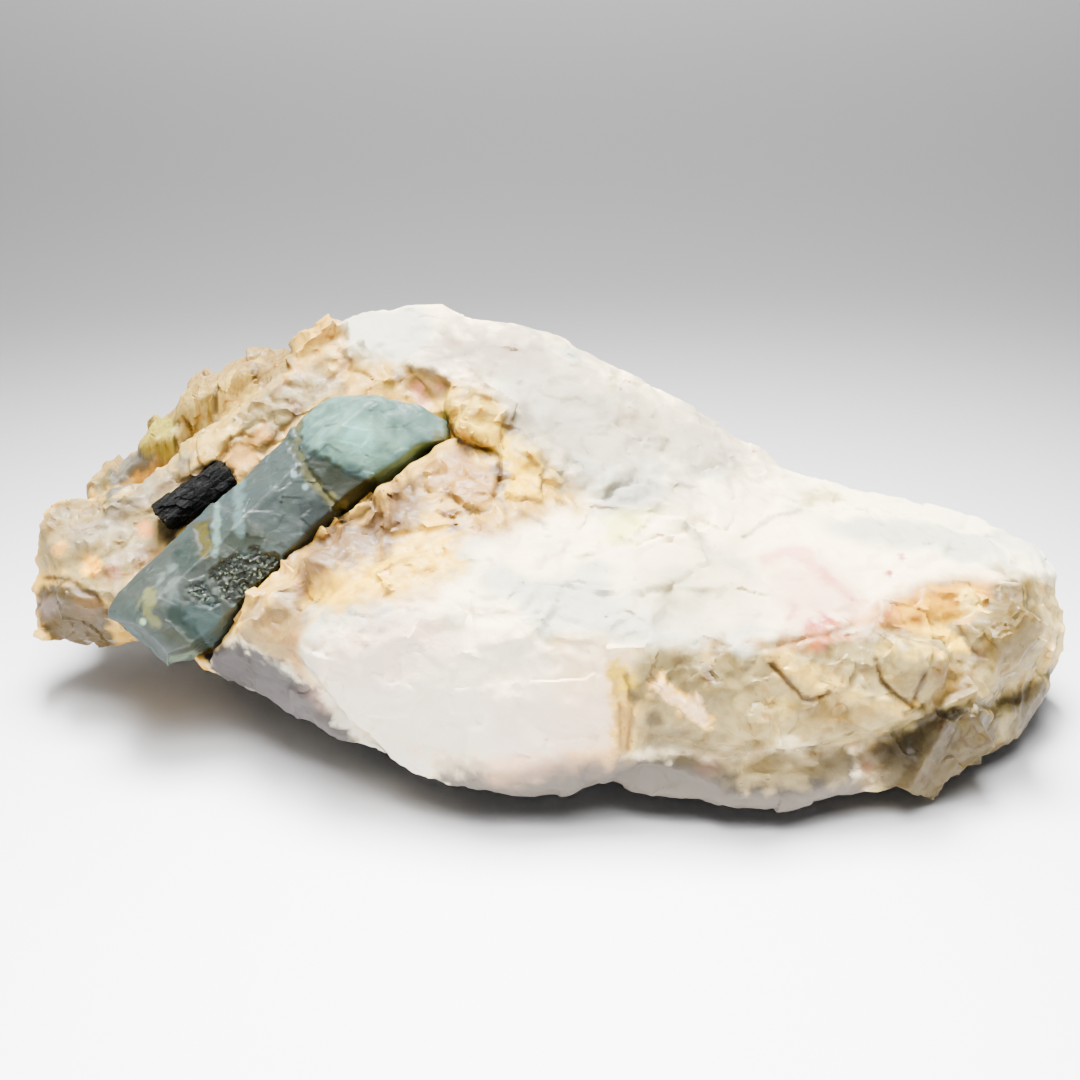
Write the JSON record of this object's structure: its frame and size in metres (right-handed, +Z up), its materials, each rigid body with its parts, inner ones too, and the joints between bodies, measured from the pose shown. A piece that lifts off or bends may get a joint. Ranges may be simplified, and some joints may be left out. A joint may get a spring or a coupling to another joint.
{
  "type": "rough aquamarine crystal in matrix",
  "caption": "Broken lump of quartz and feldspar that holds a rough six-sided aquamarine prism and a short black tourmaline prism beside it.",
  "frame": {"origin": "middle of the specimen's plan, on the surface that it rests on", "axes": "+X along the rock to its right end, +Y to its back, +Z up"},
  "size_m": [0.2, 0.1008, 0.066],
  "materials": {
    "matrix": "rough broken quartz and feldspar, white, cream and tan with pink and rusty stains",
    "aquamarine": "cloudy blue-green, waxy faces with olive healed cracks",
    "tourmaline": "black, finely ribbed along its length, glassy"
  },
  "bodies": {
    "root": {"matrix": "matrix", "aquamarine_crystal": "aquamarine", "tourmaline_crystal": "tourmaline"}
  },
  "joints": []
}
